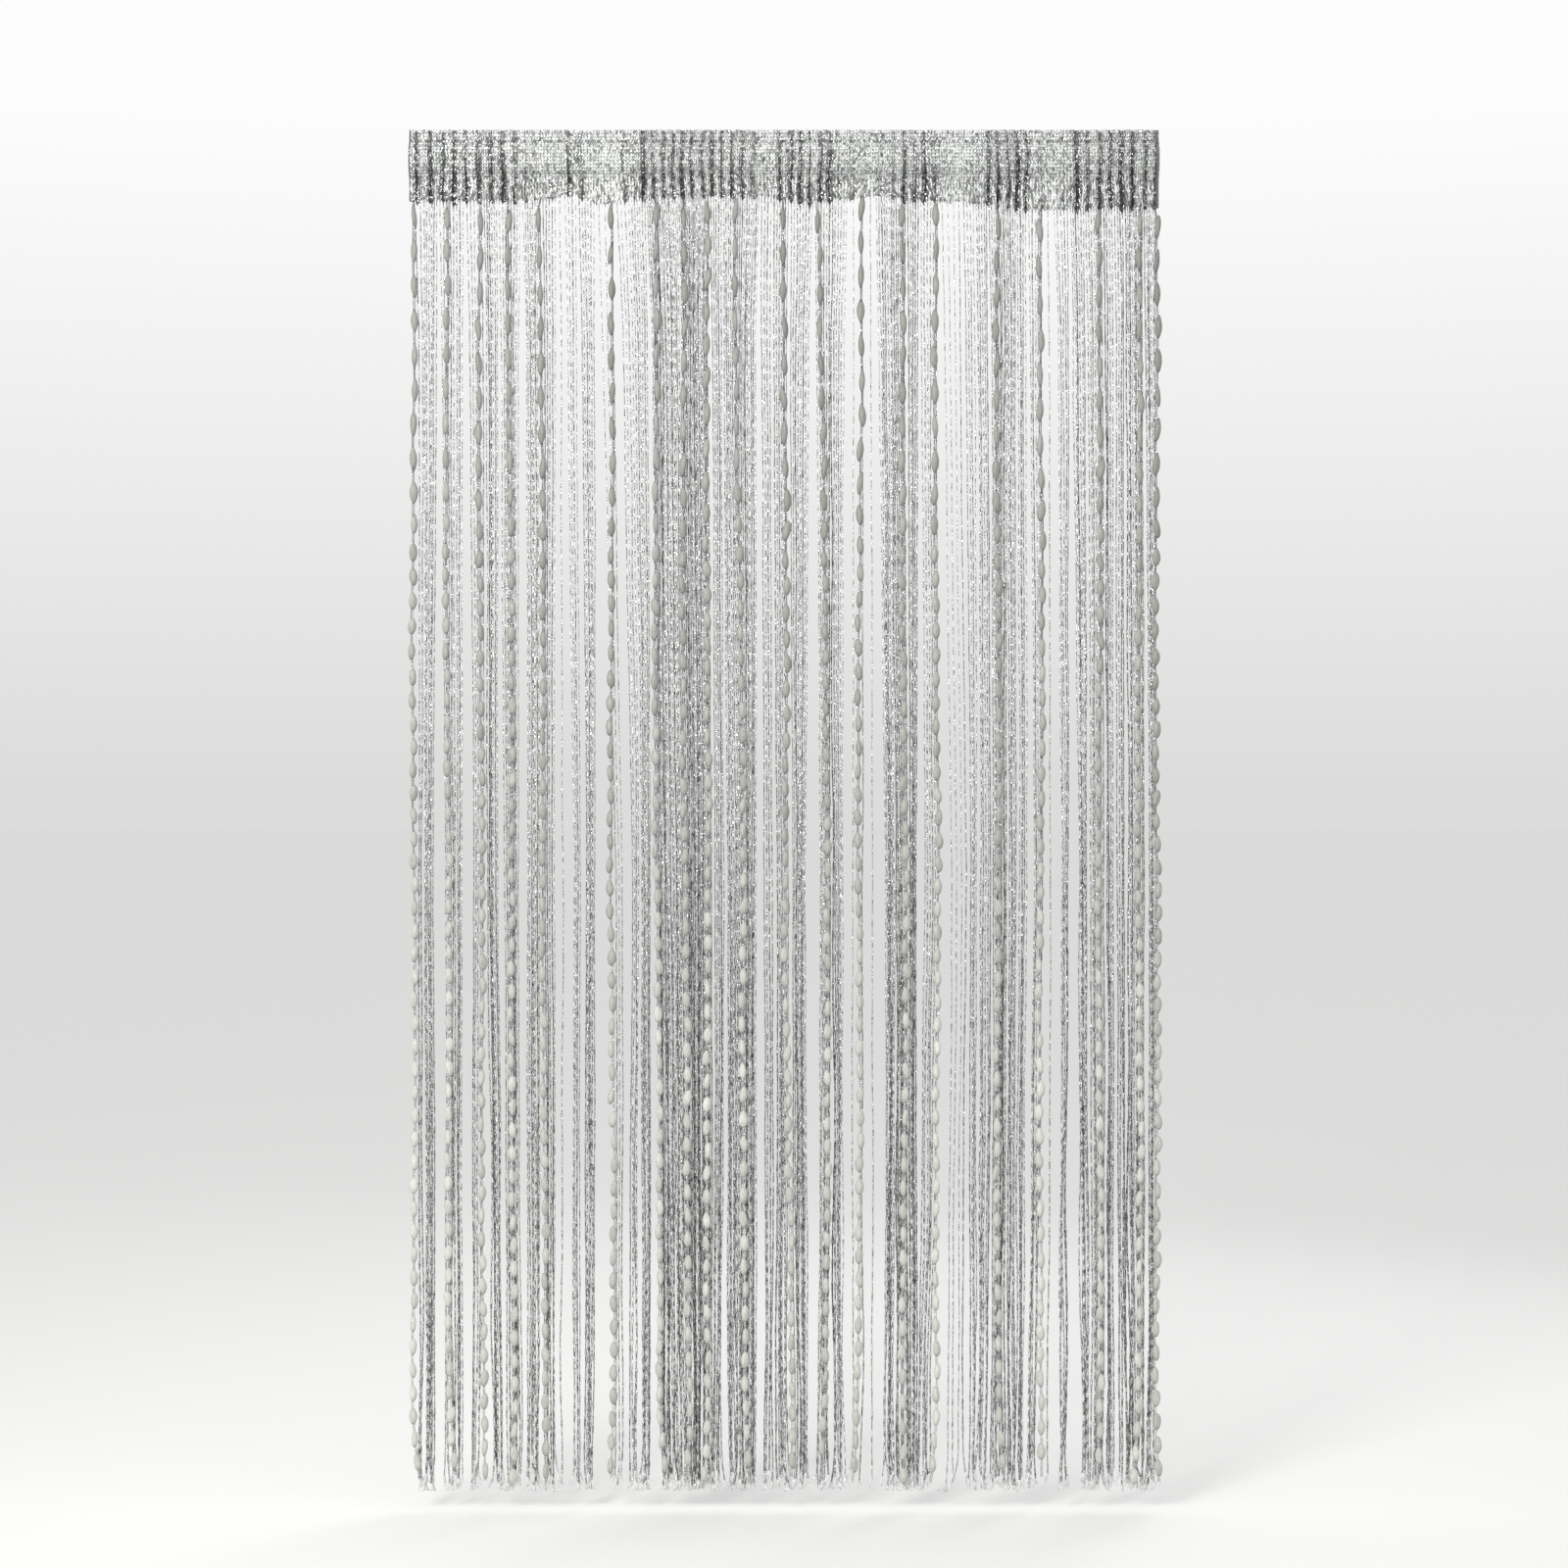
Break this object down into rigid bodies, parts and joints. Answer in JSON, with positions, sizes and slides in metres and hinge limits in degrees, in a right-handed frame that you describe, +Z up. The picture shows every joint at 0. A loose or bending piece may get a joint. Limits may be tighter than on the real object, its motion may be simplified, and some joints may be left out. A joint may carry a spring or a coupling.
{
  "type": "beaded string curtain with a rod-pocket heading",
  "caption": "String curtain: a gathered knitted heading with a rod pocket, from which plain yarn strings and bead strings hang.",
  "frame": {"origin": "middle of the heading's top edge, where a rod in the pocket would hold the curtain up", "axes": "+Z up, the strings hang down -Z; -Y is the front; +X is to the right as seen from the front"},
  "size_m": [1.104, 0.0296, 1.997],
  "materials": {
    "knit": "knitted silver-grey yarn with a metallic thread",
    "yarn": "twisted silver-grey yarn with a metallic thread",
    "bead_cord": "pale twisted cord with satin spindle slubs"
  },
  "bodies": {
    "root": {"heading": "knit", "plain_strings": "yarn", "bead_strings": "bead_cord"}
  },
  "joints": []
}
